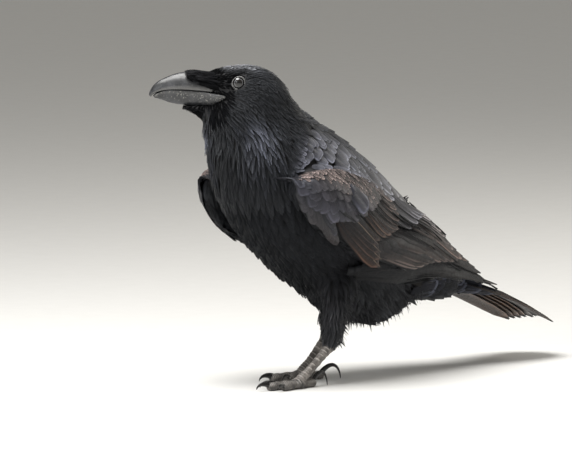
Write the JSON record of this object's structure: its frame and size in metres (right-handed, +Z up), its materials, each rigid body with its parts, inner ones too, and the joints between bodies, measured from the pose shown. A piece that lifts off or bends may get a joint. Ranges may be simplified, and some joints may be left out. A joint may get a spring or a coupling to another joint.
{
  "type": "raven",
  "caption": "Life-size still model of a standing raven with folded wings, a turned head and both feet on the floor.",
  "frame": {"origin": "centre of the bounding box's underside, at floor level", "axes": "+X from the breast to the tail, -Y to the bird's left side, +Z up"},
  "size_m": [0.5622, 0.1658, 0.3412],
  "materials": {
    "plumage": "glossy black feathers with a blue-grey sheen",
    "flight_feathers": "weathered black-brown flight feathers, satin",
    "bill": "slate-grey horn, glossy on the culmen",
    "eye": "dark brown, wet gloss",
    "scaled_skin": "dark grey scutes with paler joints, satin",
    "claw": "black horn, glossy"
  },
  "bodies": {
    "root": {"head": "plumage", "neck": "plumage", "trunk": "plumage", "tail": "flight_feathers", "bill_upper": "bill", "bill_lower": "bill", "eye_left": "eye", "eye_right": "eye", "wing_left": "flight_feathers", "thigh_left": "plumage", "tarsus_left": "scaled_skin", "foot_left": "scaled_skin", "toe_middle_left": "scaled_skin", "toe_inner_left": "scaled_skin", "toe_outer_left": "scaled_skin", "toe_rear_left": "scaled_skin", "claw_middle_left": "claw", "claw_inner_left": "claw", "claw_outer_left": "claw", "claw_rear_left": "claw", "wing_right": "flight_feathers", "thigh_right": "plumage", "tarsus_right": "scaled_skin", "foot_right": "scaled_skin", "toe_middle_right": "scaled_skin", "toe_inner_right": "scaled_skin", "toe_outer_right": "scaled_skin", "toe_rear_right": "scaled_skin", "claw_middle_right": "claw", "claw_inner_right": "claw", "claw_outer_right": "claw", "claw_rear_right": "claw"}
  },
  "joints": []
}
